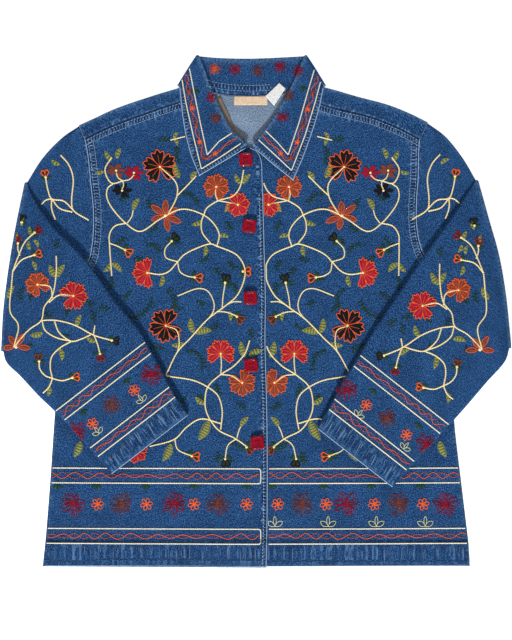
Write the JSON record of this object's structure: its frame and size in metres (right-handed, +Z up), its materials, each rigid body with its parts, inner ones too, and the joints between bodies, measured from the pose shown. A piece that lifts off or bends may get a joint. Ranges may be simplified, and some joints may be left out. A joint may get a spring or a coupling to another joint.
{
  "type": "embroidered denim jacket",
  "caption": "Women's hip-length denim jacket laid flat, long sleeves folded across it, one-piece collar, square buttons, embroidered vines and flowers.",
  "frame": {"origin": "centre of the laid jacket's footprint, on the surface that it lies on", "axes": "+Z up from the surface, +Y from hem to collar, +X to the viewer's right, which is the wearer's left"},
  "size_m": [0.6881, 0.6911, 0.0099],
  "materials": {
    "denim": "matte",
    "thread": "satin",
    "tape": "matte",
    "label": "matte",
    "care_label": "matte",
    "button": "gloss"
  },
  "bodies": {
    "root": {"back": "denim", "front_right": "denim", "front_left": "denim", "sleeve_right": "denim", "sleeve_left": "denim", "collar": "denim", "neck_tape": "tape", "neck_label": "label", "care_label": "care_label", "button_1": "button", "button_2": "button", "button_3": "button", "button_4": "button", "button_5": "button"}
  },
  "joints": []
}
